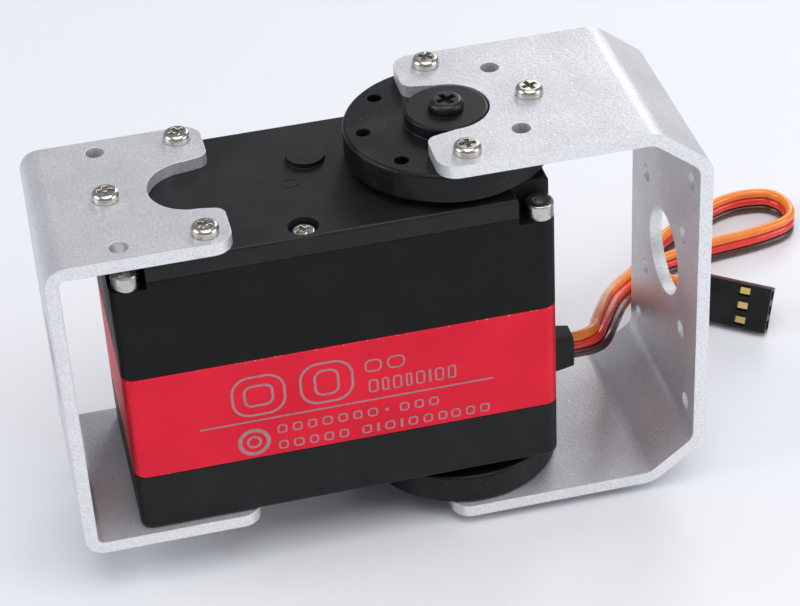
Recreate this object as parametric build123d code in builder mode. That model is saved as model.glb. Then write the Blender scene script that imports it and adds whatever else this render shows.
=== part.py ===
from build123d import *
import os
from math import acos, atan2, cos, hypot, pi, radians, sin, tan

os.makedirs("parts", exist_ok=True)

# A single-axis pan and tilt joint for a camera: a digital servo with an output disc on top and an
# idler disc below, a short fixed bracket round its far end, and a long yoke that swings on both discs.
# Millimetres, +Z along the output shaft. The origin is the middle of the footprint, on the table.
# Heights given to level() and at() count from the underside of the servo's case, and distances along
# and across from the output axis.

# ---- Driving dimensions -------------------------------------------------------------------------
case_length = 65.0
case_width = 30.0
case_height = 48.0
shaft_x = 13.0  # output axis
shaft_to_end = 12.3  # output axis to the nearer end of the case
case_z = 10.2  # underside of the case above the table
seam_bottom = 9.9  # seams between the case's four parts
seam_middle = 28.05
seam_top = 44.7
case_corner = 2.0
notch_corner = 0.6  # least radius of an inner outline's corners
wall = 2.0
post_inset = 0.4  # how far the screw posts stay inside the case's outline
sheet = 2.0  # thickness of both brackets
bracket_width = 32.0
disc_radius = 15.25
disc_hub_radius = 6.2
disc_thickness = 4.8
disc_gap = 1.2  # space between the case and a disc
hole_circle = 12.5  # radius of the circle of holes in a disc and in the brackets' backs
screw_core = 1.05  # radius of a tapped hole
screw_shank = 1.0
bracket_hole = 1.4  # radius of a bracket's screw hole
head_height = 1.4
lead_width = 4.8

case_end_x = shaft_x + shaft_to_end
case_far_x = case_end_x - case_length
case_mid_x = (case_end_x + case_far_x) / 2


def level(height):
    """The plane at a height above the underside of the case."""
    return Plane.XY.offset(case_z + height)


def at(along, across=0.0):
    """A place in plan, from the output axis."""
    return (shaft_x + along, across)


def on_circle(angle):
    """A place on the discs' circle of holes, from its angle in degrees."""
    return at(hole_circle * cos(radians(angle)), hole_circle * sin(radians(angle)))


def case_plan(inset=0.0, mode=Mode.ADD):
    """The case's rounded outline, drawn in by an inset."""
    corner = max(case_corner - inset, notch_corner)
    with Locations((case_mid_x, 0)):
        RectangleRounded(case_length - 2 * inset, case_width - 2 * inset, corner, mode=mode)


def rounds(places, radius, bottom, top, mode=Mode.ADD):
    """Round posts or holes between two heights."""
    with BuildSketch(level(bottom)) as plan:
        with Locations(*places):
            Circle(radius)
    extrude(plan.sketch, amount=top - bottom, mode=mode)


def cut_rounds(places, radius, bottom, top):
    """Round holes between two heights."""
    rounds(places, radius, bottom, top, mode=Mode.SUBTRACT)


def posts(places, radius, bottom, top):
    """Round posts between two heights, kept inside the case's outline."""
    with BuildSketch(level(bottom)) as plan:
        with Locations(*places):
            Circle(radius)
        case_plan(post_inset, mode=Mode.INTERSECT)
    extrude(plan.sketch, amount=top - bottom)


def ring(place, outer, inner, bottom, top):
    """A flat ring between two heights."""
    with BuildSketch(level(bottom)) as plan:
        with Locations(place):
            Circle(outer)
            Circle(inner, mode=Mode.SUBTRACT)
    extrude(plan.sketch, amount=top - bottom)


def block(place, length, width, bottom, top, mode=Mode.ADD):
    """A rectangular block between two heights."""
    with BuildSketch(level(bottom)) as plan:
        with Locations(place):
            Rectangle(length, width)
    extrude(plan.sketch, amount=top - bottom, mode=mode)


# ---- Places that several pieces share -----------------------------------------------------------
corner_screws = [at(10.2, 12.9), at(10.2, -12.9), at(-50.1, 12.9), at(-50.1, -12.9)]
bottom_screws = [at(9.2, 12.2), at(9.2, -12.2), at(-49.3, 12.2), at(-49.3, -12.2)]
side_screws = [at(-24.2, -12.2)]
bracket_screws = [at(-38.1, 12.7), at(-38.1, -12.7), at(-50.4)]
ledge = 43.65  # floor of the notches that hold the corner screws
near_notch = 5.65  # length of a notch at the shaft's end of the case
far_notch = 5.3
notch_width = 4.6
notch_wall = 0.5

motor = (-39.5, 0.0)
motor_radius = 9.8
motor_screws = [at(-39.5, 6), at(-39.5, -6)]
axle_1 = (-30.25, -2.58)
axle_2 = (-23.55, 4.5)
axle_3 = (-12.75, 0.0)
output = (0.0, 0.0)
axle_radius = 1.0
axle_top = 46.0
gear_axles = [at(*axle_1), at(*axle_2), at(*axle_3)]
plate_low = 26.6  # the plate that carries the gears
plate_top = 29.0
disc_low = case_height + disc_gap
disc_top = disc_low + disc_thickness
arm_top = disc_top + sheet
idler_top = -1.4
arm_low_inner = -6.5
arm_low = arm_low_inner - sheet

# Shafts and bearings. A ring's bore is larger than its shaft by the slip.
slip = 0.02
hair = 0.01  # clearance of a fixed pin or ring in its seat
shaft_radius = 3.0
shaft_seat = 4.0  # radius of the output shaft in the upper bearing
upper_bearing_radius = 6.0
lower_bearing_radius = 5.0
race = 0.75  # thickness of a bearing's outer ring
race_gap = 0.35
lip_radius = 4.4  # hole that leaves a lip over a bearing's outer ring
bearing_low = 44.75
bearing_high = 48.2
lower_bearing_low = 26.0
sensor_radius = 6.0
sensor_top = 25.0
sensor_pin = 1.5


def notches(extra, bottom, top, mode):
    """The four corner notches, made larger by a wall where blocks stand round them."""
    with BuildSketch(level(bottom)) as plan:
        for side in (-1, 1):
            for edge_x, inward, length in ((case_end_x, -1, near_notch), (case_far_x, 1, far_notch)):
                long = length + extra
                wide = notch_width + extra
                with Locations((edge_x + inward * long / 2, side * (case_width - wide) / 2)):
                    Rectangle(long, wide)
        case_plan(0, mode=Mode.INTERSECT)
    extrude(plan.sketch, amount=top - bottom, mode=mode)


# ---- Case ---------------------------------------------------------------------------------------
boot_low = 5.3
boot_high = 11.9
boot_width = 5.6
stub_end = -7.6
stub_shoulder = -4.6
stub_radius = 3.7
stub_seat = 2.98  # radius of the stub in the idler bearing
pad_radius = 7.0
pad_height = 0.8
post_radius = 2.75
bracket_post = 2.35
post_gap = 0.1
long_hole = 1.15  # radius of a hole for a corner screw
side_hole = 1.1
socket_bore = 2.35  # radius and depth of the sinkings for the bottom screws
socket_depth = 2.7
side_bore = 2.25  # radius and floor of the side screw's sinking
side_floor = 45.8
long_screw_reach = 18.6
short_screw_reach = 15.4
foot_round = 0.8
seam_chamfer = 0.15
band_chamfer = 0.2
housing_wall = 1.5  # at the shaft's end
housing_far_wall = 2.0
housing_side_wall = 2.3
plateau_gap = 0.3
top_pad_radius = 8.0
top_pad_height = 0.5
axle_pad = at(-20.35, 5.1)
axle_pad_radius = 2.95
axle_pad_height = 0.8
mark = at(-23.8, -0.8)
mark_radius = 1.3
mark_line = 0.4
mark_height = 0.12
cover_round = 0.5
end_wall = at(shaft_to_end - wall / 2)
housing_middle = (case_mid_x + (housing_far_wall - housing_wall) / 2, 0)
housing_length = case_length - housing_wall - housing_far_wall
housing_width = case_width - 2 * housing_side_wall
plateau_length = housing_length - 2 * plateau_gap
plateau_width = case_width - 2 * (notch_width + notch_wall + plateau_gap)

with BuildPart() as bottom_cover:
    with BuildSketch(level(0)):
        case_plan()
    extrude(amount=seam_bottom)
    fillet(bottom_cover.faces().sort_by(Axis.Z)[0].edges(), radius=foot_round)
    chamfer(bottom_cover.faces().sort_by(Axis.Z)[-1].edges(), length=seam_chamfer)
    with BuildSketch(level(wall)):
        case_plan(wall)
    extrude(amount=seam_bottom, mode=Mode.SUBTRACT)
    posts(bottom_screws, post_radius, wall, seam_bottom - post_gap)
    posts(bracket_screws, bracket_post, wall, 4.4)
    rounds([at(0)], 4.0, wall, 6.0)
    rounds([at(0)], pad_radius, -pad_height, 0.0)
    rounds([at(0)], stub_radius, stub_shoulder, -pad_height)
    rounds([at(0)], stub_seat, stub_end, stub_shoulder)
    cut_rounds([at(0)], 1.3, stub_end, 4.5)
    cut_rounds(bottom_screws, socket_bore, 0, socket_depth)
    cut_rounds(bottom_screws, long_hole, socket_depth, seam_bottom)
    cut_rounds(bracket_screws, screw_core, 0, 4.0)
    block(end_wall, wall + 1, boot_width, boot_low, seam_bottom, mode=Mode.SUBTRACT)
bottom_cover.part.label = "bottom_cover"
export_step(bottom_cover.part, "parts/bottom_cover.step")

with BuildPart() as middle_case:
    with BuildSketch(level(seam_bottom)):
        case_plan()
    extrude(amount=seam_middle - seam_bottom)
    chamfer(middle_case.faces().sort_by(Axis.Z)[-1].edges(), length=band_chamfer)
    chamfer(middle_case.faces().sort_by(Axis.Z)[0].edges(), length=band_chamfer)
    with BuildSketch(level(seam_bottom)):
        case_plan(wall)
    extrude(amount=plate_low - seam_bottom, mode=Mode.SUBTRACT)
    block(housing_middle, plateau_length, plateau_width, seam_middle, plate_top)
    posts(corner_screws + bottom_screws, post_radius, seam_bottom + post_gap, plate_low)
    rounds([at(0)], pad_radius, sensor_top, plate_low)
    cut_rounds(corner_screws, long_hole, long_screw_reach, seam_middle)
    cut_rounds(bottom_screws, long_hole, seam_bottom, short_screw_reach)
    cut_rounds([at(0)], lower_bearing_radius + hair, lower_bearing_low, plate_top)
    cut_rounds([at(0)], 3.6, sensor_top, lower_bearing_low)
    cut_rounds(gear_axles, axle_radius + hair, 27.0, plate_top)
    cut_rounds([at(*motor)], 3.0, plate_low, plate_top)
    cut_rounds(motor_screws, 0.85, plate_low, plate_top)
    block(end_wall, wall + 1, boot_width, seam_bottom, boot_high, mode=Mode.SUBTRACT)
middle_case.part.label = "middle_case"
export_step(middle_case.part, "parts/middle_case.step")

with BuildPart() as gear_housing:
    with BuildSketch(level(seam_middle)):
        case_plan()
    extrude(amount=seam_top - seam_middle)
    chamfer(gear_housing.faces().sort_by(Axis.Z)[-1].edges(), length=seam_chamfer)
    chamfer(gear_housing.faces().sort_by(Axis.Z)[0].edges(), length=seam_chamfer)
    with BuildSketch(level(seam_middle)):
        with Locations(housing_middle):
            Rectangle(housing_length, housing_width)
    extrude(amount=seam_top - seam_middle, mode=Mode.SUBTRACT)
    notches(notch_wall, seam_middle + seam_chamfer, seam_top - seam_chamfer, Mode.ADD)
    posts(side_screws, bracket_post, 38.5, seam_top - seam_chamfer)
    posts(bracket_screws, bracket_post, 40.0, seam_top - seam_chamfer)
    notches(0, ledge, seam_top, Mode.SUBTRACT)
    cut_rounds(corner_screws, long_hole, seam_middle, seam_top)
    cut_rounds(side_screws, side_hole, 39.0, seam_top)
    cut_rounds(bracket_screws, side_hole, 43.0, seam_top)
gear_housing.part.label = "gear_housing"
export_step(gear_housing.part, "parts/gear_housing.step")

with BuildPart() as top_cover:
    with BuildSketch(level(seam_top)):
        case_plan()
    extrude(amount=case_height - seam_top)
    chamfer(top_cover.faces().sort_by(Axis.Z)[0].edges(), length=seam_chamfer)
    notches(0, seam_top, case_height, Mode.SUBTRACT)
    fillet(top_cover.faces().sort_by(Axis.Z)[-1].edges(), radius=cover_round)
    rounds([at(0)], top_pad_radius, case_height, case_height + top_pad_height)
    rounds([axle_pad], axle_pad_radius, case_height, case_height + axle_pad_height)
    ring(mark, mark_radius, mark_radius - mark_line, case_height, case_height + mark_height)
    cut_rounds([at(0)], upper_bearing_radius + hair, seam_top, bearing_high)
    cut_rounds([at(0)], lip_radius, bearing_high, case_height + top_pad_height)
    cut_rounds(side_screws, side_bore, side_floor, case_height)
    cut_rounds(side_screws, long_hole, seam_top, side_floor)
    cut_rounds(bracket_screws, side_hole, seam_top, case_height)
    cut_rounds(gear_axles, axle_radius + hair, seam_top, axle_top + 0.1)
top_cover.part.label = "top_cover"
export_step(top_cover.part, "parts/top_cover.step")


# ---- Screws -------------------------------------------------------------------------------------
turn_step = 34  # each screw of a group stops a little further round than the last


def pan_screw(head_radius, height, shank_radius, length):
    """A cross-slotted pan-head screw with its head above Z = 0 and its shank below."""
    with BuildPart() as screw:
        with BuildSketch(Plane.XZ):
            with BuildLine():
                Polyline((0, height), (0, -length), (shank_radius - 0.3, -length))
                Line((shank_radius - 0.3, -length), (shank_radius, -length + 0.4))
                Polyline((shank_radius, -length + 0.4), (shank_radius, 0), (head_radius - 0.1, 0))
                Line((head_radius - 0.1, 0), (head_radius, 0.15))
                Line((head_radius, 0.15), (head_radius, 0.5 * height))
                ThreePointArc(
                    (head_radius, 0.5 * height),
                    (0.91 * head_radius, 0.82 * height),
                    (0.7 * head_radius, height),
                )
                Line((0.7 * head_radius, height), (0, height))
            make_face()
        revolve(axis=Axis.Z)
        with BuildSketch(Plane.XY.offset(height)):
            Rectangle(2.36 * shank_radius, 0.72 * shank_radius, rotation=20)
            Rectangle(0.72 * shank_radius, 2.36 * shank_radius, rotation=20)
        extrude(amount=-0.62 * height, mode=Mode.SUBTRACT)
    return screw.part


def cap_screw(head_radius, height, shank_radius, length):
    """A hexagon-socket cap screw with its head above Z = 0 and its shank below."""
    with BuildPart() as screw:
        Cylinder(head_radius, height, align=(Align.CENTER, Align.CENTER, Align.MIN))
        fillet(screw.faces().sort_by(Axis.Z)[-1].edges(), radius=0.35)
        with Locations((0, 0, -length)):
            Cylinder(shank_radius, length, align=(Align.CENTER, Align.CENTER, Align.MIN))
        with BuildSketch(Plane.XY.offset(height)):
            RegularPolygon(1.15, 6)
        extrude(amount=-1.3, mode=Mode.SUBTRACT)
    return screw.part


def places_at(places, height, turned=False):
    """Locations of screws whose heads stand on a height, or hang below it when turned over."""
    tilt = 180 if turned else 0
    return [
        Location((x, y, case_z + height), (tilt, 0, turn_step * n)) for n, (x, y) in enumerate(places)
    ]


small_screw = pan_screw(2.05, head_height, screw_shank, 6.0)
side_screw = pan_screw(2.0, 1.5, screw_shank, 6.3)
black_screw = pan_screw(2.6, head_height, 1.25, 9.5)
idler_screw_shape = pan_screw(3.5, 1.6, 1.25, 8.5)
motor_screw = pan_screw(1.5, 1.0, 0.75, 3.0)
long_screw = cap_screw(2.1, 2.4, 1.1, 24.0)
short_screw = cap_screw(2.1, 2.4, 1.1, 12.0)

with BuildPart() as top_corner_screws:
    with Locations(*places_at(corner_screws, ledge)):
        add(long_screw)
top_corner_screws.part.label = "top_corner_screws"
export_step(top_corner_screws.part, "parts/top_corner_screws.step")

with BuildPart() as bottom_corner_screws:
    with Locations(*places_at(bottom_screws, socket_depth, turned=True)):
        add(short_screw)
bottom_corner_screws.part.label = "bottom_corner_screws"
export_step(bottom_corner_screws.part, "parts/bottom_corner_screws.step")

with BuildPart() as side_case_screw:
    with Locations(*places_at(side_screws, side_floor)):
        add(side_screw)
side_case_screw.part.label = "side_case_screw"
export_step(side_case_screw.part, "parts/side_case_screw.step")

with BuildPart() as short_bracket_screws_top:
    with Locations(*places_at(bracket_screws, case_height + sheet)):
        add(small_screw)
short_bracket_screws_top.part.label = "short_bracket_screws_top"
export_step(short_bracket_screws_top.part, "parts/short_bracket_screws_top.step")

with BuildPart() as short_bracket_screws_bottom:
    with Locations(*places_at(bracket_screws, -sheet, turned=True)):
        add(small_screw)
short_bracket_screws_bottom.part.label = "short_bracket_screws_bottom"
export_step(short_bracket_screws_bottom.part, "parts/short_bracket_screws_bottom.step")

yoke_screws = [at(hole_circle, 0), at(0, hole_circle), at(0, -hole_circle)]
with BuildPart() as yoke_screws_top:
    with Locations(*places_at(yoke_screws, arm_top)):
        add(small_screw)
yoke_screws_top.part.label = "yoke_screws_top"
export_step(yoke_screws_top.part, "parts/yoke_screws_top.step")

with BuildPart() as yoke_screws_bottom:
    with Locations(*places_at(yoke_screws, arm_low, turned=True)):
        add(small_screw)
yoke_screws_bottom.part.label = "yoke_screws_bottom"
export_step(yoke_screws_bottom.part, "parts/yoke_screws_bottom.step")

with BuildPart() as horn_screw:
    with Locations(*places_at([at(0)], arm_top)):
        add(black_screw)
horn_screw.part.label = "horn_screw"
export_step(horn_screw.part, "parts/horn_screw.step")

with BuildPart() as idler_screw:
    with Locations(*places_at([at(0)], stub_end, turned=True)):
        add(idler_screw_shape)
idler_screw.part.label = "idler_screw"
export_step(idler_screw.part, "parts/idler_screw.step")

with BuildPart() as motor_mount_screws:
    with Locations(*places_at(motor_screws, plate_top)):
        add(motor_screw)
motor_mount_screws.part.label = "motor_mount_screws"
export_step(motor_mount_screws.part, "parts/motor_mount_screws.step")


# ---- Brackets -----------------------------------------------------------------------------------
def fork_cut(centre_x, tip_x, opening):
    """The round-ended notch in a bracket's arm, flaring towards the arm's tips."""
    toward = 1 if tip_x > centre_x else -1
    reach = abs(tip_x - centre_x) + 4
    with BuildSketch(Plane.XY) as plan:
        with Locations((centre_x, 0)):
            Circle(opening)
        with BuildLine():
            Polyline(
                (centre_x, opening),
                (centre_x + toward * reach, opening + 0.22 * reach),
                (centre_x + toward * reach, -opening - 0.22 * reach),
                (centre_x, -opening),
                (centre_x, opening),
            )
        make_face()
    extrude(plan.sketch, amount=100, mode=Mode.SUBTRACT)


def back_holes(face_x, middle_z, corner_y, corner_z):
    """The large hole, the ring of four and the four corner holes in a bracket's back."""
    with BuildSketch(Plane.YZ.offset(face_x)) as plan:
        with Locations((0, middle_z)):
            Circle(back_bore)
            with PolarLocations(hole_circle, 4, start_angle=45):
                Circle(bracket_hole)
            with GridLocations(2 * corner_y, 2 * corner_z, 2, 2):
                Circle(bracket_hole)
    extrude(plan.sketch, amount=3, both=True, mode=Mode.SUBTRACT)


def arm_holes(places):
    """Screw holes through both arms of a bracket."""
    with BuildSketch(Plane.XY) as plan:
        with Locations(*places):
            Circle(bracket_hole)
    extrude(plan.sketch, amount=100, mode=Mode.SUBTRACT)


def tip_edges(bracket, tip_x, nearest, farthest):
    """The upright edges at the arms' tips, between two distances from the middle."""
    upright = bracket.edges().filter_by(Axis.Z)
    at_tip = [edge for edge in upright if abs(edge.center().X - tip_x) < hair]
    return [edge for edge in at_tip if nearest < abs(edge.center().Y) < farthest]


def round_tips(bracket, tip_x):
    """Rounds the arms' outer corners and the mouths of their notches."""
    middle = bracket_width / 2 - tip_corner - hair
    fillet(tip_edges(bracket, tip_x, middle, bracket_width), radius=tip_corner)
    fillet(tip_edges(bracket, tip_x, 0, middle), radius=mouth_corner)


back_bore = 7.0
tip_corner = 3.0
mouth_corner = 1.8
yoke_bend_radius = 4.5
short_bend_radius = 3.0
yoke_fork = 6.35
short_fork = 6.4
corner_across = 12.0  # half the spacing of the corner holes in the backs
yoke_corner_up = 20.5
short_corner_up = 18.0
yoke_back = 35.5  # outer face of the yoke's back, from the output axis
yoke_bend = 8.3  # length of the yoke's slanted corners along the arms
yoke_drop = 6.4  # and across them
yoke_tip = -4.8
back_middle_z = case_z + (arm_top + arm_low) / 2  # height of the hole patterns in both backs

with BuildPart() as yoke_bracket:
    with BuildSketch(Plane.XZ.offset(-bracket_width / 2)):
        with BuildLine():
            FilletPolyline(
                (shaft_x + yoke_tip, case_z + arm_top),
                (shaft_x + yoke_back - yoke_bend, case_z + arm_top),
                (shaft_x + yoke_back, case_z + arm_top - yoke_drop),
                (shaft_x + yoke_back, case_z + arm_low + yoke_drop),
                (shaft_x + yoke_back - yoke_bend, case_z + arm_low),
                (shaft_x + yoke_tip, case_z + arm_low),
                radius=yoke_bend_radius,
            )
            offset(amount=sheet, side=Side.RIGHT)
        make_face()
    extrude(amount=bracket_width)
    fork_cut(shaft_x, shaft_x + yoke_tip, yoke_fork)
    round_tips(yoke_bracket, shaft_x + yoke_tip)
    arm_holes([on_circle(angle) for angle in (-90, -45, 0, 45, 90)])
    back_holes(shaft_x + yoke_back, back_middle_z, corner_across, yoke_corner_up)
yoke_bracket.part.label = "yoke_bracket"
export_step(yoke_bracket.part, "parts/yoke_bracket.step")

short_back = -61.5  # outer face of the short bracket's back
short_tip = -34.5
with BuildPart() as short_bracket:
    with BuildSketch(Plane.XZ.offset(-bracket_width / 2)):
        with BuildLine():
            FilletPolyline(
                (shaft_x + short_tip, case_z + case_height + sheet),
                (shaft_x + short_back, case_z + case_height + sheet),
                (shaft_x + short_back, case_z - sheet),
                (shaft_x + short_tip, case_z - sheet),
                radius=short_bend_radius,
            )
            offset(amount=sheet, side=Side.LEFT)
        make_face()
    extrude(amount=bracket_width)
    fork_cut(bracket_screws[0][0], shaft_x + short_tip, short_fork)
    round_tips(short_bracket, shaft_x + short_tip)
    arm_holes(bracket_screws + [at(-50.4, 12.7), at(-50.4, -12.7)])
    back_holes(shaft_x + short_back, back_middle_z, corner_across, short_corner_up)
short_bracket.part.label = "short_bracket"
export_step(short_bracket.part, "parts/short_bracket.step")

# ---- Discs --------------------------------------------------------------------------------------
disc_holes = [on_circle(45 * n) for n in range(8)]
rim_chamfer = 0.35
hub_chamfer = 0.25
spline_teeth = 25
spline_root = 2.7
spline_tip = 2.95


def spline_prism(clearance, bottom, top, mode=Mode.ADD):
    """The serrated output spline between two heights, made larger by a clearance."""
    outline = []
    for n in range(2 * spline_teeth):
        radius = (spline_tip if n % 2 else spline_root) + clearance
        angle = pi * n / spline_teeth
        outline.append((shaft_x + radius * cos(angle), radius * sin(angle)))
    with BuildSketch(level(bottom)) as plan:
        with BuildLine():
            Polyline(*outline, outline[0])
        make_face()
    extrude(plan.sketch, amount=top - bottom, mode=mode)


with BuildPart() as output_horn:
    with BuildSketch(level(disc_low)):
        with Locations(at(0)):
            Circle(disc_radius)
    extrude(amount=disc_thickness)
    chamfer(output_horn.edges().filter_by(GeomType.CIRCLE), length=rim_chamfer)
    rounds([at(0)], disc_hub_radius, disc_top, arm_top)
    chamfer(output_horn.faces().sort_by(Axis.Z)[-1].edges(), length=hub_chamfer)
    cut_rounds(disc_holes, screw_core, disc_low, disc_top)
    cut_rounds([at(0)], 1.6, disc_low, arm_top)
    spline_prism(0.04, disc_low, disc_low + 4.0, mode=Mode.SUBTRACT)
output_horn.part.label = "output_horn"
export_step(output_horn.part, "parts/output_horn.step")

with BuildPart() as idler_disc:
    with BuildSketch(level(arm_low_inner)):
        with Locations(at(0)):
            Circle(disc_radius)
    extrude(amount=idler_top - arm_low_inner)
    chamfer(idler_disc.edges().filter_by(GeomType.CIRCLE), length=rim_chamfer)
    rounds([at(0)], disc_hub_radius, arm_low, arm_low_inner)
    cut_rounds(disc_holes, screw_core, arm_low_inner, idler_top)
    cut_rounds([at(0)], lower_bearing_radius + hair, arm_low, stub_shoulder)
    cut_rounds([at(0)], lip_radius, stub_shoulder, idler_top)
idler_disc.part.label = "idler_disc"
export_step(idler_disc.part, "parts/idler_disc.step")

# ---- Bearings -----------------------------------------------------------------------------------
inner_ring_radius = lower_bearing_radius - race - race_gap
shaft_low = 26.3
with BuildPart() as upper_bearing_outer:
    ring(at(0), upper_bearing_radius, upper_bearing_radius - race, bearing_low, bearing_high)
upper_bearing_outer.part.label = "upper_bearing_outer"
export_step(upper_bearing_outer.part, "parts/upper_bearing_outer.step")

with BuildPart() as upper_bearing_inner:
    ring(at(0), upper_bearing_radius - race - race_gap, shaft_seat + slip, bearing_low, bearing_high)
upper_bearing_inner.part.label = "upper_bearing_inner"
export_step(upper_bearing_inner.part, "parts/upper_bearing_inner.step")

with BuildPart() as lower_bearing_outer:
    ring(at(0), lower_bearing_radius, lower_bearing_radius - race, lower_bearing_low, plate_top)
lower_bearing_outer.part.label = "lower_bearing_outer"
export_step(lower_bearing_outer.part, "parts/lower_bearing_outer.step")

with BuildPart() as lower_bearing_inner:
    ring(at(0), inner_ring_radius, shaft_radius + slip, shaft_low, plate_top)
lower_bearing_inner.part.label = "lower_bearing_inner"
export_step(lower_bearing_inner.part, "parts/lower_bearing_inner.step")

with BuildPart() as idler_bearing_outer:
    ring(at(0), lower_bearing_radius, lower_bearing_radius - race, stub_end, stub_shoulder)
idler_bearing_outer.part.label = "idler_bearing_outer"
export_step(idler_bearing_outer.part, "parts/idler_bearing_outer.step")

with BuildPart() as idler_bearing_inner:
    ring(at(0), inner_ring_radius, stub_seat + slip, stub_end, stub_shoulder)
idler_bearing_inner.part.label = "idler_bearing_inner"
export_step(idler_bearing_inner.part, "parts/idler_bearing_inner.step")

# ---- Output shaft and position sensor -----------------------------------------------------------
gear_seat_low = 39.5
spline_low = 48.9
spline_top = 53.1
with BuildPart() as output_shaft:
    rounds([at(0)], shaft_radius, shaft_low, gear_seat_low)
    rounds([at(0)], shaft_seat, gear_seat_low, spline_low)
    spline_prism(0.0, spline_low, spline_top)
    cut_rounds([at(0)], 1.3, 45.5, spline_top)
    cut_rounds([at(0)], sensor_pin + slip, shaft_low, 31.2)
output_shaft.part.label = "output_shaft"
export_step(output_shaft.part, "parts/output_shaft.step")

with BuildPart() as position_sensor:
    rounds([at(0)], sensor_radius, 19.0, sensor_top)
    cut_rounds([at(0)], sensor_pin + 0.1, 20.2, sensor_top)
position_sensor.part.label = "position_sensor"
export_step(position_sensor.part, "parts/position_sensor.step")

with BuildPart() as sensor_shaft:
    rounds([at(0)], sensor_pin, 20.5, 31.0)
sensor_shaft.part.label = "sensor_shaft"
export_step(sensor_shaft.part, "parts/sensor_shaft.step")

# ---- Gears --------------------------------------------------------------------------------------
pressure = radians(25)
tooth_thinning = 0.05  # taken off each tooth for backlash


def gear_outline(teeth, module, phase):
    """One gear's outline about the origin, with a tooth's middle at the phase angle in radians."""
    pitch = teeth * module / 2
    base = pitch * cos(pressure)
    tip = pitch + 0.9 * module
    root = pitch - 1.2 * module
    half_at_pitch = (pi * module / 2 - tooth_thinning) / 2 / pitch
    involute_at_pitch = tan(pressure) - pressure

    def half_angle(radius):
        turn = acos(min(1.0, base / radius))
        return half_at_pitch + involute_at_pitch - (tan(turn) - turn)

    start = max(base, root)
    middle = (start + tip) / 2

    def point(radius, angle):
        return (radius * cos(angle), radius * sin(angle))

    for n in range(teeth):
        centre = phase + 2 * pi * n / teeth
        after = centre + 2 * pi / teeth
        rise, crest, top = half_angle(start), half_angle(middle), half_angle(tip)
        if start > root:
            Line(point(root, centre - rise), point(start, centre - rise))
            Line(point(start, centre + rise), point(root, centre + rise))
        ThreePointArc(
            point(start, centre - rise), point(middle, centre - crest), point(tip, centre - top)
        )
        ThreePointArc(point(tip, centre - top), point(tip, centre), point(tip, centre + top))
        ThreePointArc(
            point(tip, centre + top), point(middle, centre + crest), point(start, centre + rise)
        )
        gap_middle = (centre + after) / 2
        ThreePointArc(
            point(root, centre + rise), point(root, gap_middle), point(root, after - rise)
        )


def gear(place, teeth, module, phase, bottom, top):
    """A toothed wheel between two heights."""
    with BuildSketch(Plane(origin=(shaft_x + place[0], place[1], case_z + bottom))) as plan:
        with BuildLine():
            gear_outline(teeth, module, phase)
        make_face()
    extrude(plan.sketch, amount=top - bottom)


def bearing_of(here, there):
    """The direction from one axis to another, in radians."""
    return atan2(there[1] - here[1], there[0] - here[0])


def space_phase(teeth, here, there):
    """The phase that turns the middle of a tooth space towards another axis."""
    return bearing_of(here, there) + pi / teeth


stage_1 = (10, 38, 0.4)  # teeth of the driving and the driven gear, and the module
stage_2 = (10, 29, 0.5)
stage_3 = (10, 29, 0.6)
stage_4 = (10, 24, 0.75)
stages = (
    (motor, axle_1, stage_1),
    (axle_1, axle_2, stage_2),
    (axle_2, axle_3, stage_3),
    (axle_3, output, stage_4),
)
ratio = 1.0
for here, there, (driving, driven, module) in stages:
    ratio *= driven / driving
    spacing = hypot(there[0] - here[0], there[1] - here[1])
    print("gear spacing", round(spacing, 3), "wanted", round((driving + driven) * module / 2, 3))
print("gear ratio", ratio)

gear_bore = axle_radius + 0.05
boss_low = 29.3
boss_top = 44.4
motor_shaft_radius = 1.0
motor_shaft_top = 32.8

with BuildPart() as motor_pinion:
    gear(motor, 10, 0.4, bearing_of(motor, axle_1), 29.9, motor_shaft_top)
    cut_rounds([at(*motor)], motor_shaft_radius + hair, 29.9, motor_shaft_top)
motor_pinion.part.label = "motor_pinion"
export_step(motor_pinion.part, "parts/motor_pinion.step")

with BuildPart() as gear_1:
    rounds([at(*axle_1)], 2.4, boss_low, 30.4)
    gear(axle_1, 38, 0.4, space_phase(38, axle_1, motor), 30.4, 32.2)
    gear(axle_1, 10, 0.5, bearing_of(axle_1, axle_2), 32.2, 35.8)
    rounds([at(*axle_1)], 1.6, 35.8, boss_top)
    cut_rounds([at(*axle_1)], gear_bore, boss_low, boss_top)
gear_1.part.label = "gear_1"
export_step(gear_1.part, "parts/gear_1.step")

with BuildPart() as gear_2:
    rounds([at(*axle_2)], 1.45, boss_low, 33.2)
    gear(axle_2, 29, 0.5, space_phase(29, axle_2, axle_1), 33.2, 35.2)
    gear(axle_2, 10, 0.6, bearing_of(axle_2, axle_3), 35.2, 39.6)
    rounds([at(*axle_2)], 1.8, 39.6, boss_top)
    cut_rounds([at(*axle_2)], gear_bore, boss_low, boss_top)
gear_2.part.label = "gear_2"
export_step(gear_2.part, "parts/gear_2.step")

with BuildPart() as gear_3:
    rounds([at(*axle_3)], 2.2, boss_low, 36.8)
    gear(axle_3, 29, 0.6, space_phase(29, axle_3, axle_2), 36.8, 39.2)
    gear(axle_3, 10, 0.75, bearing_of(axle_3, output), 39.2, boss_top)
    cut_rounds([at(*axle_3)], gear_bore, boss_low, boss_top)
gear_3.part.label = "gear_3"
export_step(gear_3.part, "parts/gear_3.step")

with BuildPart() as output_gear:
    gear(output, 24, 0.75, space_phase(24, output, axle_3), gear_seat_low + 0.2, 44.2)
    cut_rounds([at(0)], shaft_seat + slip, gear_seat_low, 44.2)
output_gear.part.label = "output_gear"
export_step(output_gear.part, "parts/output_gear.step")

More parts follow.
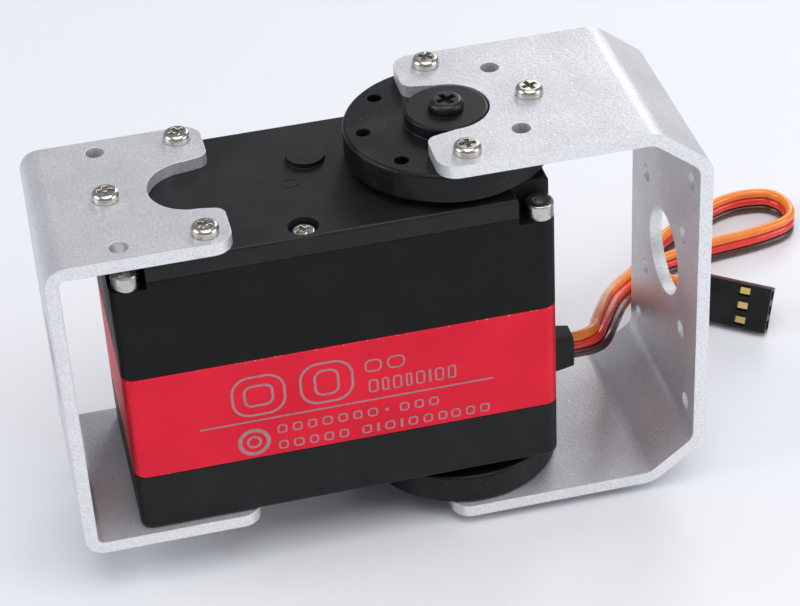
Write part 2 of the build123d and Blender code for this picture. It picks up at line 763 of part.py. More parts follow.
axles = (("gear_axle_1", axle_1), ("gear_axle_2", axle_2), ("gear_axle_3", axle_3))
for axle_name, place in axles:
    with BuildPart() as gear_axle:
        rounds([at(*place)], axle_radius, 27.1, axle_top)
    gear_axle.part.label = axle_name
    export_step(gear_axle.part, f"parts/{axle_name}.step")

# ---- Motor --------------------------------------------------------------------------------------
can_low = 6.5
can_wall = 0.9
cap_low = 5.2
cap_top = 8.0
cap_floor = can_low + 0.3
shaft_clear = motor_shaft_radius + 0.06
brush_across = 5.2
with BuildPart() as motor_can:
    rounds([at(*motor)], motor_radius, can_low, plate_low)
    cut_rounds([at(*motor)], motor_radius - can_wall, can_low, plate_low - 1.0)
    cut_rounds([at(*motor)], shaft_clear, plate_low - 1.0, plate_low)
    cut_rounds(motor_screws, 0.8, plate_low - 1.0, plate_low)
motor_can.part.label = "motor_can"
export_step(motor_can.part, "parts/motor_can.step")

magnet_inner = 5.6
with BuildPart() as motor_magnets:
    ring(at(*motor), motor_radius - 1.0, magnet_inner, 9.5, 23.0)
    block(at(*motor), 5.0, 22.0, 9.5, 23.0, mode=Mode.SUBTRACT)
motor_magnets.part.label = "motor_magnets"
export_step(motor_magnets.part, "parts/motor_magnets.step")

with BuildPart() as motor_end_cap:
    rounds([at(*motor)], motor_radius, cap_low, can_low)
    rounds([at(*motor)], motor_radius - 1.0, can_low, cap_top)
    cut_rounds([at(*motor)], 4.6, cap_floor, cap_top)
    cut_rounds([at(*motor)], shaft_clear, cap_low, cap_floor)
    block(at(*motor), 3.4, 15.4, cap_floor, cap_top, mode=Mode.SUBTRACT)
motor_end_cap.part.label = "motor_end_cap"
export_step(motor_end_cap.part, "parts/motor_end_cap.step")

brush_places = [at(motor[0], brush_across), at(motor[0], -brush_across)]
with BuildPart() as motor_brushes:
    for place in brush_places:
        block(place, 2.4, 5.0, cap_floor + 0.1, cap_top - 0.1)
motor_brushes.part.label = "motor_brushes"
export_step(motor_brushes.part, "parts/motor_brushes.step")

with BuildPart() as motor_terminals:
    for place in brush_places:
        block(place, 2.0, 0.5, 4.0, cap_low)
motor_terminals.part.label = "motor_terminals"
export_step(motor_terminals.part, "parts/motor_terminals.step")

with BuildPart() as motor_shaft:
    rounds([at(*motor)], motor_shaft_radius, 5.4, motor_shaft_top)
motor_shaft.part.label = "motor_shaft"
export_step(motor_shaft.part, "parts/motor_shaft.step")

with BuildPart() as motor_armature:
    ring(at(*motor), 5.2, motor_shaft_radius + hair, 10.2, 22.2)
motor_armature.part.label = "motor_armature"
export_step(motor_armature.part, "parts/motor_armature.step")

with BuildPart() as motor_commutator:
    ring(at(*motor), 2.5, motor_shaft_radius + hair, 6.95, 9.8)
motor_commutator.part.label = "motor_commutator"
export_step(motor_commutator.part, "parts/motor_commutator.step")

# ---- Circuit board ------------------------------------------------------------------------------
board_low = 2.8
board_top = 4.0
board_far = -47.3
board_near = 8.0
with BuildPart() as circuit_board:
    block(at((board_far + board_near) / 2), board_near - board_far, 18.4, board_low, board_top)
    cut_rounds([at(0)], 4.6, board_low, board_top)
circuit_board.part.label = "circuit_board"
export_step(circuit_board.part, "parts/circuit_board.step")

with BuildPart() as board_components:
    block(at(-14, 4.5), 7.0, 7.0, board_top, board_top + 1.1)
    for along in (-24.5, -20.0):
        for across in (-6.0, 0.5):
            block(at(along, across), 3.4, 4.6, board_top, board_top + 1.3)
    rounds([at(-10, -5.5)], 3.15, board_top, board_top + 6.5)
    block(at(-25.5, 6.9), 4.0, 2.6, board_top, board_top + 1.6)
board_components.part.label = "board_components"
export_step(board_components.part, "parts/board_components.step")

with BuildPart() as board_spacers:
    for along in (-44.0, 6.2):
        for across in (-8.0, 8.0):
            rounds([at(along, across)], 1.2, wall, board_low)
board_spacers.part.label = "board_spacers"
export_step(board_spacers.part, "parts/board_spacers.step")

# ---- Lead and its fittings ----------------------------------------------------------------------
boot_tip = 18.4
boot_middle = (boot_low + boot_high) / 2
with BuildPart() as strain_relief:
    with BuildSketch(Plane.YZ.offset(shaft_x + shaft_to_end - wall - 1.3)):
        with Locations((0, case_z + boot_middle)):
            RectangleRounded(boot_width + 2.4, boot_high - boot_low + 2.4, 1.0)
    extrude(amount=1.3)
    with BuildSketch(Plane.YZ.offset(shaft_x + shaft_to_end - wall)):
        with Locations((0, case_z + boot_middle)):
            RectangleRounded(boot_width - 0.1, boot_high - boot_low - 0.1, 0.4)
    extrude(amount=wall)
    with BuildSketch(Plane.YZ.offset(shaft_x + shaft_to_end)):
        with Locations((0, case_z + boot_middle)):
            RectangleRounded(5.6, 7.4, 1.2)
    with BuildSketch(Plane.YZ.offset(shaft_x + boot_tip)):
        with Locations((0, case_z + boot_middle)):
            RectangleRounded(4.4, 5.9, 1.2)
    loft()
strain_relief.part.label = "strain_relief"
export_step(strain_relief.part, "parts/strain_relief.step")

table = -case_z  # the table, from the underside of the case
lying = table + lead_width / 2
plug_height = 7.62
plug_thickness = 2.54
plug_lean = radians(27)  # how far the plug leans over on its long edge
plug_mid = table + (plug_height * cos(plug_lean) + plug_thickness * sin(plug_lean)) / 2
# The lead's route from the strain relief, round behind the yoke, out in a loop and back to the plug.
lead_points = [
    (boot_tip, 0.0, boot_middle),
    (23.2, 0.0, boot_middle),
    (27.4, 4.4, 8.4),
    (28.6, 12.2, 7.0),
    (29.4, 20.4, 4.0),
    (34.6, 26.6, 0.0),
    (38.8, 33.6, -4.6),
    (43.4, 40.8, lying),
    (50.6, 46.8, lying),
    (58.4, 51.0, lying),
    (64.8, 53.6, lying),
    (72.6, 52.2, lying),
    (73.2, 43.8, lying),
    (65.6, 41.4, lying),
    (57.0, 40.6, lying),
    (49.6, 39.4, lying),
    (43.4, 37.4, lying),
    (42.6, 31.0, plug_mid),
    (47.8, 27.0, plug_mid),
]
route = [Vector(shaft_x + x, y, case_z + z) for x, y, z in lead_points]
radii = []
for before, here, after in zip(route, route[1:], route[2:]):
    turn = radians((here - before).get_angle(after - here))
    run = min((here - before).length, (after - here).length)
    radii.append(0.45 * run / tan(turn / 2))
print("lead radii", [round(r, 1) for r in radii])
with BuildPart() as servo_lead:
    with BuildLine() as lead_path:
        FilletPolyline(*route, radius=radii)
    with BuildSketch(Plane(origin=route[0], z_dir=route[1] - route[0])):
        Circle(lead_width / 2)
    sweep()
servo_lead.part.label = "servo_lead"
export_step(servo_lead.part, "parts/servo_lead.step")
lead_length = sum(edge.length for edge in lead_path.edges())
swept = servo_lead.part.volume / (pi * (lead_width / 2) ** 2 * lead_length)
print("lead length", round(lead_length, 1), "volume share", round(swept, 4))

plug_length = 14.0
plug_way = (route[-1] - route[-2]).normalized()
plug_over = Vector(-plug_way.Y, plug_way.X, 0)
plug_up = plug_over * sin(plug_lean) + Vector(0, 0, cos(plug_lean))
plug_plane = Plane(origin=route[-1] - plug_up * (plug_height / 2), x_dir=plug_way, z_dir=plug_up)
plug_axis = Axis(plug_plane.origin, plug_up)
pin_pitch = 2.54
cavity_heights = [plug_height / 2 + pin_pitch * n for n in (-1, 0, 1)]
cavity = 1.5
window_along = 9.4
window_length = 2.0
window_height = 1.7
with BuildPart() as connector_housing:
    with BuildSketch(plug_plane):
        with Locations((plug_length / 2, 0)):
            Rectangle(plug_length, plug_thickness)
    extrude(amount=plug_height)
    chamfer(connector_housing.edges().filter_by(plug_axis), length=0.2)
    for height in cavity_heights:
        with BuildSketch(plug_plane.offset(height - cavity / 2)):
            with Locations((plug_length - 5.5, 0)):
                Rectangle(11.0, cavity)
        extrude(amount=cavity, mode=Mode.SUBTRACT)
        with BuildSketch(plug_plane.offset(height - window_height / 2)):
            with Locations((window_along, -plug_thickness / 2)):
                Rectangle(window_length, plug_thickness)
        extrude(amount=window_height, mode=Mode.SUBTRACT)
connector_housing.part.label = "connector_housing"
export_step(connector_housing.part, "parts/connector_housing.step")

with BuildPart() as connector_contacts:
    for height in cavity_heights:
        with BuildSketch(plug_plane.offset(height - 0.6)):
            with Locations((plug_length - 5.9, 0)):
                Rectangle(9.6, 1.2)
        extrude(amount=1.2)
        with BuildSketch(plug_plane.offset(height - 0.35)):
            with Locations((plug_length - 3.6, 0)):
                Rectangle(5.0, 0.7)
        extrude(amount=0.7, mode=Mode.SUBTRACT)
connector_contacts.part.label = "connector_contacts"
export_step(connector_contacts.part, "parts/connector_contacts.step")
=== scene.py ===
import logging
from dataclasses import dataclass, field
from enum import Enum
from math import copysign, pi, radians
from typing import Iterable, Sequence

import bmesh
import bpy
from mathutils import Matrix, Vector


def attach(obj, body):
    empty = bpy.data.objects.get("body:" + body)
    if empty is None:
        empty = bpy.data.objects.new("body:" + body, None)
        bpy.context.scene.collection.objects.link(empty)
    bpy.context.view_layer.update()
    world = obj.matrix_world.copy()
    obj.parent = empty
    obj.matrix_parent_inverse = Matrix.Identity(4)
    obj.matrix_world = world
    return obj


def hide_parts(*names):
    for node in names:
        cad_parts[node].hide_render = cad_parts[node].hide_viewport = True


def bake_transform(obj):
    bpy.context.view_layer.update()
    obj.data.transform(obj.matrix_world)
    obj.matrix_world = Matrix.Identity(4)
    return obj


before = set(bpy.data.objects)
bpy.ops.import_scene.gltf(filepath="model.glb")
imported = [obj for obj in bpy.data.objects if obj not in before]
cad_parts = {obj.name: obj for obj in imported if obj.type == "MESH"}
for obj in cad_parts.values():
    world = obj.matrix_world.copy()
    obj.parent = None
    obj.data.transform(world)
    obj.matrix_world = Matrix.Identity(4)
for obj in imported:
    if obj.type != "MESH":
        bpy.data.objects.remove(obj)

logger = logging.getLogger("pan_tilt_mount")

MM = 0.001
SHAFT_X = 13.0
CASE_Z = 10.2
SHARP_TURN = radians(32)

Point = tuple[float, float, float]
Colour = tuple[float, float, float]


def at(along: float, across: float, height: float) -> Vector:
    """Gives a place in metres, from millimetres.

    Args:
        along: distance from the output axis, along the case.
        across: distance from the output axis, across the case.
        height: height above the case's underside.

    Returns:
        The place, in the object's frame.
    """
    return Vector(((SHAFT_X + along) * MM, across * MM, (CASE_Z + height) * MM))


# ---------------------------------------------------------------------------------------------
# Shader maths
# ---------------------------------------------------------------------------------------------


class Value:
    """A shader socket that carries a number, with operators that add Math nodes."""

    def __init__(self, shader: "Shader", socket: bpy.types.NodeSocket) -> None:
        self.shader = shader
        self.socket = socket

    def _math(self, operation: str, *others: "Value | float", swap: bool = False) -> "Value":
        """Adds one Math node.

        Args:
            operation: the Math node's operation.
            others: the other operands.
            swap: whether this value comes second.

        Returns:
            The node's result.
        """
        operands = [self, *others]
        if swap:
            operands.reverse()
        inputs = dict(enumerate(operands))
        node = self.shader.node("ShaderNodeMath", {"operation": operation}, inputs)
        return Value(self.shader, node.outputs[0])

    def __add__(self, other: "Value | float") -> "Value":
        """Sum."""
        return self._math("ADD", other)

    def __radd__(self, other: float) -> "Value":
        """Sum, from the right."""
        return self._math("ADD", other)

    def __sub__(self, other: "Value | float") -> "Value":
        """Difference."""
        return self._math("SUBTRACT", other)

    def __rsub__(self, other: float) -> "Value":
        """Difference, from the right."""
        return self._math("SUBTRACT", other, swap=True)

    def __mul__(self, other: "Value | float") -> "Value":
        """Product."""
        return self._math("MULTIPLY", other)

    def __rmul__(self, other: float) -> "Value":
        """Product, from the right."""
        return self._math("MULTIPLY", other)

    def magnitude(self) -> "Value":
        """This without its sign."""
        return self._math("ABSOLUTE")

    def sine(self) -> "Value":
        """Sine of this, in radians."""
        return self._math("SINE")

    def power(self, exponent: float) -> "Value":
        """This raised to a power."""
        return self._math("POWER", exponent)

    def most(self, other: "Value | float") -> "Value":
        """The greater of the two."""
        return self._math("MAXIMUM", other)

    def between(self, low: float, high: float, start: float = 0.0, end: float = 1.0) -> "Value":
        """Maps a span smoothly to another.

        Args:
            low: the value that gives start.
            high: the value that gives end.
            start: the result at low.
            end: the result at high.

        Returns:
            The mapped value, held at both ends.
        """
        sockets = {"Value": self, "From Min": low, "From Max": high, "To Min": start, "To Max": end}
        node = self.shader.node("ShaderNodeMapRange", {"interpolation_type": "SMOOTHSTEP"}, sockets)
        return Value(self.shader, node.outputs["Result"])


class Shader:
    """One material's node tree, with a Principled shader at its end."""

    def __init__(self, name: str) -> None:
        self.material = bpy.data.materials.new(name)
        self.material.use_nodes = True
        self.tree = self.material.node_tree
        self.surface = self.tree.nodes["Principled BSDF"]

    def node(
        self,
        kind: str,
        settings: dict | None = None,
        inputs: dict | None = None,
    ) -> bpy.types.Node:
        """Adds a node.

        Args:
            kind: the node's type.
            settings: the node's own settings, set first.
            inputs: values or links of its sockets, by name or number.

        Returns:
            The new node.
        """
        node = self.tree.nodes.new(kind)
        for name, value in (settings or {}).items():
            setattr(node, name, value)
        for name, value in (inputs or {}).items():
            self.feed(node.inputs[name], value)
        return node

    def feed(self, socket: bpy.types.NodeSocket, value: object) -> None:
        """Links a socket to a value or another socket, or sets its constant."""
        if isinstance(value, Value):
            self.tree.links.new(value.socket, socket)
        elif isinstance(value, bpy.types.NodeSocket):
            self.tree.links.new(value, socket)
        elif isinstance(value, tuple) and len(value) == 3 and socket.type == "RGBA":
            socket.default_value = (*value, 1.0)
        else:
            socket.default_value = value

    def place(self) -> bpy.types.NodeSocket:
        """The point on the piece, in metres."""
        return self.node("ShaderNodeTexCoord").outputs["Object"]

    def stretched(self, scale: Point, turn: Point = (0.0, 0.0, 0.0)) -> bpy.types.NodeSocket:
        """The point on the piece, turned and stretched for a pattern with a grain."""
        sockets = {"Vector": self.place(), "Scale": scale, "Rotation": turn}
        return self.node("ShaderNodeMapping", None, sockets).outputs[0]

    def along(self) -> Value:
        """The distance along a lead, in metres, from its own attribute."""
        node = self.node("ShaderNodeAttribute", {"attribute_name": "along"})
        return Value(self, node.outputs["Fac"])

    def parts_of(self, vector: bpy.types.NodeSocket) -> tuple[Value, Value, Value]:
        """The three components of a vector."""
        node = self.node("ShaderNodeSeparateXYZ", None, {0: vector})
        return tuple(Value(self, output) for output in node.outputs)

    def facing(self) -> tuple[Value, Value, Value]:
        """The surface's own direction, as three components."""
        return self.parts_of(self.node("ShaderNodeTexCoord").outputs["Normal"])

    def vector(
        self,
        x: "Value | float",
        y: "Value | float",
        z: "Value | float",
    ) -> bpy.types.NodeSocket:
        """A vector from three numbers."""
        return self.node("ShaderNodeCombineXYZ", None, {0: x, 1: y, 2: z}).outputs[0]

    def noise(
        self,
        size: float,
        detail: float = 2.0,
        place: bpy.types.NodeSocket | None = None,
        rough: float = 0.5,
    ) -> Value:
        """Soft noise.

        Args:
            size: width of one blotch, in the place's own units.
            detail: finer layers.
            place: where the noise is read, the point on the piece if left out.
            rough: strength of the finer layers.

        Returns:
            The noise, from nought to one.
        """
        where = self.place() if place is None else place
        sockets = {"Vector": where, "Scale": 1.0 / size, "Detail": detail, "Roughness": rough}
        return Value(self, self.node("ShaderNodeTexNoise", None, sockets).outputs["Fac"])

    def grains(self, size: float) -> Value:
        """Distance from the middles of scattered grains of one size."""
        sockets = {"Vector": self.place(), "Scale": 1.0 / size}
        return Value(self, self.node("ShaderNodeTexVoronoi", None, sockets).outputs["Distance"])

    def blend(self, share: "Value | float", first: object, second: object) -> bpy.types.NodeSocket:
        """Mixes two colours.

        Args:
            share: nought for the first, one for the second.
            first: a colour or a link.
            second: a colour or a link.

        Returns:
            The mixed colour.
        """
        node = self.node("ShaderNodeMix", {"data_type": "RGBA", "clamp_factor": True})
        factor = next(s for s in node.inputs if s.name == "Factor" and s.type == "VALUE")
        ends = [s for s in node.inputs if s.type == "RGBA"]
        self.feed(factor, share)
        self.feed(ends[0], first)
        self.feed(ends[1], second)
        return next(s for s in node.outputs if s.type == "RGBA")

    def bump(self, height: Value, depth: float, strength: float = 1.0) -> bpy.types.NodeSocket:
        """A normal from a height map, with its depth in metres."""
        sockets = {"Height": height, "Distance": depth, "Strength": strength}
        return self.node("ShaderNodeBump", None, sockets).outputs["Normal"]

    def finish(self, **sockets: object) -> bpy.types.Material:
        """Sets the Principled shader's sockets, named with underscores for spaces.

        Args:
            sockets: values or links.

        Returns:
            The finished material.
        """
        for name, value in sockets.items():
            self.feed(self.surface.inputs[name.replace("_", " ")], value)
        return self.material


# ---------------------------------------------------------------------------------------------
# Finishes
# ---------------------------------------------------------------------------------------------


@dataclass(frozen=True)
class BlastedMetal:
    """Sand-blasted, clear anodised sheet; its sheared edges that face front and back are painted
    brighter, partly bare cut metal and partly painted highlight.
    """

    name: str = "blasted_metal"
    face: Colour = (0.73, 0.735, 0.755)
    dark: Colour = (0.64, 0.645, 0.67)
    # bright colour of the cut edges that face front and back: partly bare cut metal, partly painted
    # highlight
    edge: Colour = (0.92, 0.92, 0.93)
    pit: Colour = (0.46, 0.465, 0.485)
    sparkle: Colour = (1.0, 1.0, 1.0)
    cloud_size: float = 0.009
    grain_size: float = 0.00042
    speck_size: float = 0.00075
    cut_contrast: float = 0.24
    depth: float = 0.00009

    def make(self) -> bpy.types.Material:
        """Builds the material."""
        shader = Shader(self.name)
        cloud = shader.noise(self.cloud_size, 3.0)
        grain = shader.noise(self.grain_size, 3.0, rough=0.75)
        speck = shader.grains(self.speck_size).between(0.05, 0.30, 1.0, 0.0)
        # faces that face front or back, the sheet's cut edges, which are painted brighter: partly bare
        # metal, partly painted highlight
        sideways = shader.facing()[1].magnitude().between(0.80, 0.95)
        sheared = shader.noise(1.0, 2.0, shader.stretched((2600.0, 260.0, 2600.0)))
        cuts = sheared.between(0.42, 0.60)
        blasted = shader.blend(cloud.between(0.3, 0.75), self.face, self.dark)
        mottled = shader.blend(grain.between(0.35, 0.62, 0.38, 0.0), blasted, self.pit)
        sparkling = shader.blend(speck * grain.between(0.48, 0.62) * 0.9, mottled, self.sparkle)
        # colour of the front- and back-facing cut edges, with their striations: partly bare metal, partly
        # painted highlight
        cut_edge_and_highlight = shader.blend(cuts * self.cut_contrast, self.edge, self.pit)
        colour = shader.blend(sideways, sparkling, cut_edge_and_highlight)
        height = grain * (1 - sideways) + sheared * sideways * 0.5
        rough = 0.44 + cloud * 0.08 - speck * 0.16 - sideways * 0.06
        return shader.finish(
            Base_Color=colour,
            Metallic=0.60,
            Roughness=rough,
            Normal=shader.bump(height, self.depth, 0.7),
        )


@dataclass(frozen=True)
class AnodisedBand:
    """Dyed and anodised metal with a fine grain along the case."""

    name: str = "anodised_band"
    dye: Colour = (0.87, 0.018, 0.046)
    deep: Colour = (0.78, 0.014, 0.038)
    bare: Colour = (0.72, 0.45, 0.46)
    lower_edge: tuple[float, float] = (9.9, 10.5)
    upper_edge: tuple[float, float] = (27.4, 28.0)
    depth: float = 0.000012

    def make(self) -> bpy.types.Material:
        """Builds the material."""
        shader = Shader(self.name)
        grain = shader.noise(1.0, 2.0, shader.stretched((400.0, 400.0, 5200.0)))
        cloud = shader.noise(0.011, 2.0)
        height = shader.parts_of(shader.place())[2]
        low = height.between(*((CASE_Z + edge) * MM for edge in self.lower_edge), 1.0, 0.0)
        high = height.between(*((CASE_Z + edge) * MM for edge in self.upper_edge))
        chips = shader.noise(0.0005, 2.0).between(0.60, 0.68) * high.most(low)
        dyed = shader.blend(cloud.between(0.3, 0.7), self.dye, self.deep)
        worn = shader.blend(chips * 0.45, dyed, self.bare)
        rough = 0.36 + grain * 0.08 + cloud * 0.05
        return shader.finish(
            Base_Color=worn,
            Metallic=0.72,
            Roughness=rough,
            Normal=shader.bump(grain, self.depth, 0.4),
        )


@dataclass(frozen=True)
class MouldedPlastic:
    """Spark-textured moulded plastic, a little polished by handling."""

    name: str = "moulded_plastic"
    base: Colour = (0.0042, 0.0045, 0.0046)
    worn: Colour = (0.011, 0.0115, 0.012)
    shine: float = 0.17
    grain_size: float = 0.00028
    depth: float = 0.00003
    smooth: float = 0.40
    rough: float = 0.56

    def make(self) -> bpy.types.Material:
        """Builds the material."""
        shader = Shader(self.name)
        grain = shader.noise(self.grain_size, 2.0, rough=0.65)
        pits = shader.grains(self.grain_size * 2.4).between(0.0, 0.42)
        cloud = shader.noise(0.007, 4.0)
        dust = shader.noise(0.0011, 3.0).between(0.66, 0.78)
        rubbed = cloud.between(0.42, 0.72)
        colour = shader.blend(rubbed * 0.55 + dust * 0.25, self.base, self.worn)
        gloss = cloud.between(0.25, 0.8, self.smooth, self.rough)
        height = grain * 0.6 + pits * 0.4
        return shader.finish(
            Base_Color=colour,
            Roughness=gloss + dust * 0.06,
            Normal=shader.bump(height, self.depth, 0.6),
            Specular_IOR_Level=self.shine,
        )


@dataclass(frozen=True)
class TurnedPlastic:
    """Black disc with faint rings from its mould and pale specks in the compound."""

    name: str = "turned_disc"
    base: Colour = (0.0055, 0.0057, 0.0060)
    speck: Colour = (0.09, 0.09, 0.094)
    ring_pitch: float = 0.0009
    depth: float = 0.00002

    def make(self) -> bpy.types.Material:
        """Builds the material."""
        shader = Shader(self.name)
        x, y, _ = shader.parts_of(shader.place())
        off = x - SHAFT_X * MM
        radius = (off * off + y * y).power(0.5)
        ring = (radius * (2 * pi / self.ring_pitch)).sine()
        grain = shader.noise(0.00035, 2.0)
        flecks = shader.grains(0.0011).between(0.04, 0.16, 1.0, 0.0)
        cloud = shader.noise(0.006, 3.0)
        pale = flecks * 0.5 + cloud.between(0.5, 0.8) * 0.15
        colour = shader.blend(pale, self.base, self.speck)
        height = grain * 0.7 + ring * 0.12
        return shader.finish(
            Base_Color=colour,
            Roughness=cloud.between(0.25, 0.8, 0.30, 0.46),
            Normal=shader.bump(height, self.depth, 0.55),
            Coat_Weight=cloud.between(0.3, 0.8, 0.0, 0.05),
            Specular_IOR_Level=0.24,
        )


@dataclass(frozen=True)
class PlatedSteel:
    """Plated steel, bright or blackened, with fine scuffs."""

    name: str
    metal: Colour
    stain: Colour
    smooth: float = 0.14
    rough: float = 0.32
    metallic: float = 1.0
    depth: float = 0.000006

    def make(self) -> bpy.types.Material:
        """Builds the material."""
        shader = Shader(self.name)
        cloud = shader.noise(0.0012, 3.0)
        scuff = shader.noise(1.0, 3.0, shader.stretched((2500.0, 9000.0, 2500.0), (0.3, 0.2, 0.6)))
        grain = shader.noise(0.00012, 2.0)
        colour = shader.blend(cloud.between(0.45, 0.75), self.metal, self.stain)
        rough = cloud.between(0.25, 0.8, self.smooth, self.rough) + scuff.between(0.6, 0.8) * 0.10
        height = scuff * 0.6 + grain * 0.4
        return shader.finish(
            Base_Color=colour,
            Metallic=self.metallic,
            Roughness=rough,
            Normal=shader.bump(height, self.depth, 0.5),
        )


@dataclass(frozen=True)
class CutSteel:
    """Machined steel of gears and shafts, with rings from the cutter and a film of grease."""

    name: str = "cut_steel"
    metal: Colour = (0.52, 0.51, 0.49)
    grease: Colour = (0.30, 0.27, 0.20)

    def make(self) -> bpy.types.Material:
        """Builds the material."""
        shader = Shader(self.name)
        rings = shader.noise(1.0, 2.0, shader.stretched((900.0, 900.0, 6500.0)))
        film = shader.noise(0.0025, 3.0).between(0.5, 0.7)
        colour = shader.blend(film * 0.6, self.metal, self.grease)
        return shader.finish(
            Base_Color=colour,
            Metallic=1.0,
            Roughness=0.24 + rings * 0.16 - film * 0.08,
            Normal=shader.bump(rings, 0.00001, 0.4),
        )


@dataclass(frozen=True)
class WireJacket:
    """Glossy soft jacket of one wire of the lead."""

    name: str
    jacket: Colour
    shade: Colour

    def make(self) -> bpy.types.Material:
        """Builds the material."""
        shader = Shader(self.name)
        ripple = shader.noise(0.0035, 2.0, shader.vector(shader.along(), 0.0, 0.0))
        skin = shader.noise(0.0005, 2.0)
        colour = shader.blend(ripple.between(0.35, 0.7) * 0.7, self.jacket, self.shade)
        return shader.finish(
            Base_Color=colour,
            Roughness=ripple.between(0.3, 0.7, 0.22, 0.36),
            Coat_Weight=0.35,
            Coat_Roughness=0.12,
            Normal=shader.bump(skin * 0.5 + ripple * 0.5, 0.00003, 0.4),
            Specular_IOR_Level=0.55,
        )


@dataclass(frozen=True)
class PrintInk:
    """Pale grey ink printed on the band, a little broken where it crosses the grain."""

    name: str = "print_ink"
    ink: Colour = (0.46, 0.24, 0.26)
    thin: Colour = (0.42, 0.14, 0.17)

    def make(self) -> bpy.types.Material:
        """Builds the material."""
        shader = Shader(self.name)
        broken = shader.noise(0.0004, 3.0)
        colour = shader.blend(broken.between(0.52, 0.72), self.ink, self.thin)
        return shader.finish(
            Base_Color=colour,
            Roughness=0.42 + broken * 0.12,
            Metallic=0.15,
            Normal=shader.bump(broken, 0.00001, 0.4),
        )


@dataclass(frozen=True)
class CircuitBoardFinish:
    """Green lacquered board with pale tracks."""

    name: str = "lacquered_board"
    lacquer: Colour = (0.012, 0.12, 0.05)
    track: Colour = (0.03, 0.22, 0.09)
    lane_pitch: float = 0.0016

    def make(self) -> bpy.types.Material:
        """Builds the material."""
        shader = Shader(self.name)
        x, y, _ = shader.parts_of(shader.place())
        lanes = (y * (2 * pi / self.lane_pitch) + (x * 420.0).sine() * 2.0).sine()
        tracks = lanes.between(0.45, 0.6) * shader.noise(0.006, 1.0).between(0.46, 0.52)
        weave = shader.noise(0.0004, 2.0)
        colour = shader.blend(tracks, self.lacquer, self.track)
        return shader.finish(
            Base_Color=colour,
            Roughness=0.28 + weave * 0.12,
            Normal=shader.bump(tracks + weave * 0.2, 0.00003, 0.5),
        )


@dataclass(frozen=True)
class WoundCopper:
    """Lacquered copper of the motor's rotor, in bands."""

    name: str = "wound_copper"
    copper: Colour = (0.60, 0.22, 0.09)
    gap: Colour = (0.16, 0.05, 0.03)
    turn_pitch: float = 0.0004

    def make(self) -> bpy.types.Material:
        """Builds the material."""
        shader = Shader(self.name)
        height = shader.parts_of(shader.place())[2]
        turns = (height * (2 * pi / self.turn_pitch)).sine()
        cloud = shader.noise(0.002, 2.0)
        dark = turns.between(-0.9, -0.2, 1.0, 0.0) * 0.8 + cloud * 0.2
        colour = shader.blend(dark, self.copper, self.gap)
        return shader.finish(
            Base_Color=colour,
            Metallic=0.75,
            Roughness=0.30 + cloud * 0.15,
            Normal=shader.bump(turns, 0.00004, 0.5),
        )


class Coat(Enum):
    """The finishes of the mount's pieces."""

    SHEET = BlastedMetal()
    BAND = AnodisedBand()
    CASE = MouldedPlastic()
    COVER = MouldedPlastic(
        name="cover_plastic", base=(0.007, 0.0082, 0.0085), worn=(0.017, 0.0185, 0.019), shine=0.30
    )
    BOTTOM = MouldedPlastic(
        name="bottom_plastic", base=(0.0115, 0.0125, 0.0130), worn=(0.022, 0.023, 0.024)
    )
    DISC = TurnedPlastic()
    NICKEL = PlatedSteel("nickel_plate", (0.66, 0.63, 0.58), (0.44, 0.41, 0.36))
    SOCKET = PlatedSteel("stainless_steel", (0.56, 0.55, 0.53), (0.38, 0.37, 0.35), 0.20, 0.40)
    BLACKENED = PlatedSteel(
        "blackened_steel", (0.014, 0.014, 0.016), (0.035, 0.034, 0.036), 0.24, 0.42, 0.35
    )
    STEEL = CutSteel()
    BEARING = PlatedSteel("bearing_steel", (0.62, 0.62, 0.63), (0.50, 0.50, 0.50), 0.08, 0.16)
    CAN = PlatedSteel("motor_can_steel", (0.50, 0.50, 0.51), (0.36, 0.36, 0.36), 0.22, 0.36)
    MAGNET = MouldedPlastic(
        name="ferrite", base=(0.03, 0.03, 0.032), worn=(0.07, 0.07, 0.07), smooth=0.5, rough=0.7
    )
    WINDING = WoundCopper()
    COPPER = PlatedSteel("bare_copper", (0.72, 0.34, 0.18), (0.42, 0.18, 0.09), 0.18, 0.34)
    BOARD = CircuitBoardFinish()
    CHIP = MouldedPlastic(
        name="component_black", base=(0.015, 0.015, 0.016), worn=(0.04, 0.04, 0.04), smooth=0.3
    )
    GOLD = PlatedSteel("contact_gold", (0.83, 0.55, 0.17), (0.60, 0.36, 0.09), 0.12, 0.26)
    RUBBER = MouldedPlastic(
        name="boot_rubber",
        base=(0.011, 0.011, 0.012),
        worn=(0.022, 0.022, 0.024),
        smooth=0.5,
        rough=0.68,
    )
    PLUG = MouldedPlastic(
        name="plug_plastic",
        base=(0.012, 0.012, 0.013),
        worn=(0.03, 0.03, 0.032),
        depth=0.00001,
        smooth=0.22,
        rough=0.38,
    )
    ORANGE = WireJacket("orange_jacket", (0.93, 0.25, 0.016), (0.86, 0.18, 0.012))
    RED = WireJacket("red_jacket", (0.86, 0.036, 0.020), (0.74, 0.024, 0.016))
    BROWN = WireJacket("brown_jacket", (0.075, 0.022, 0.012), (0.045, 0.014, 0.009))
    INK = PrintInk()

    def material(self) -> bpy.types.Material:
        """The finish's material, built once."""
        return bpy.data.materials.get(self.value.name) or self.value.make()


# ---------------------------------------------------------------------------------------------
# Mesh helpers
# ---------------------------------------------------------------------------------------------


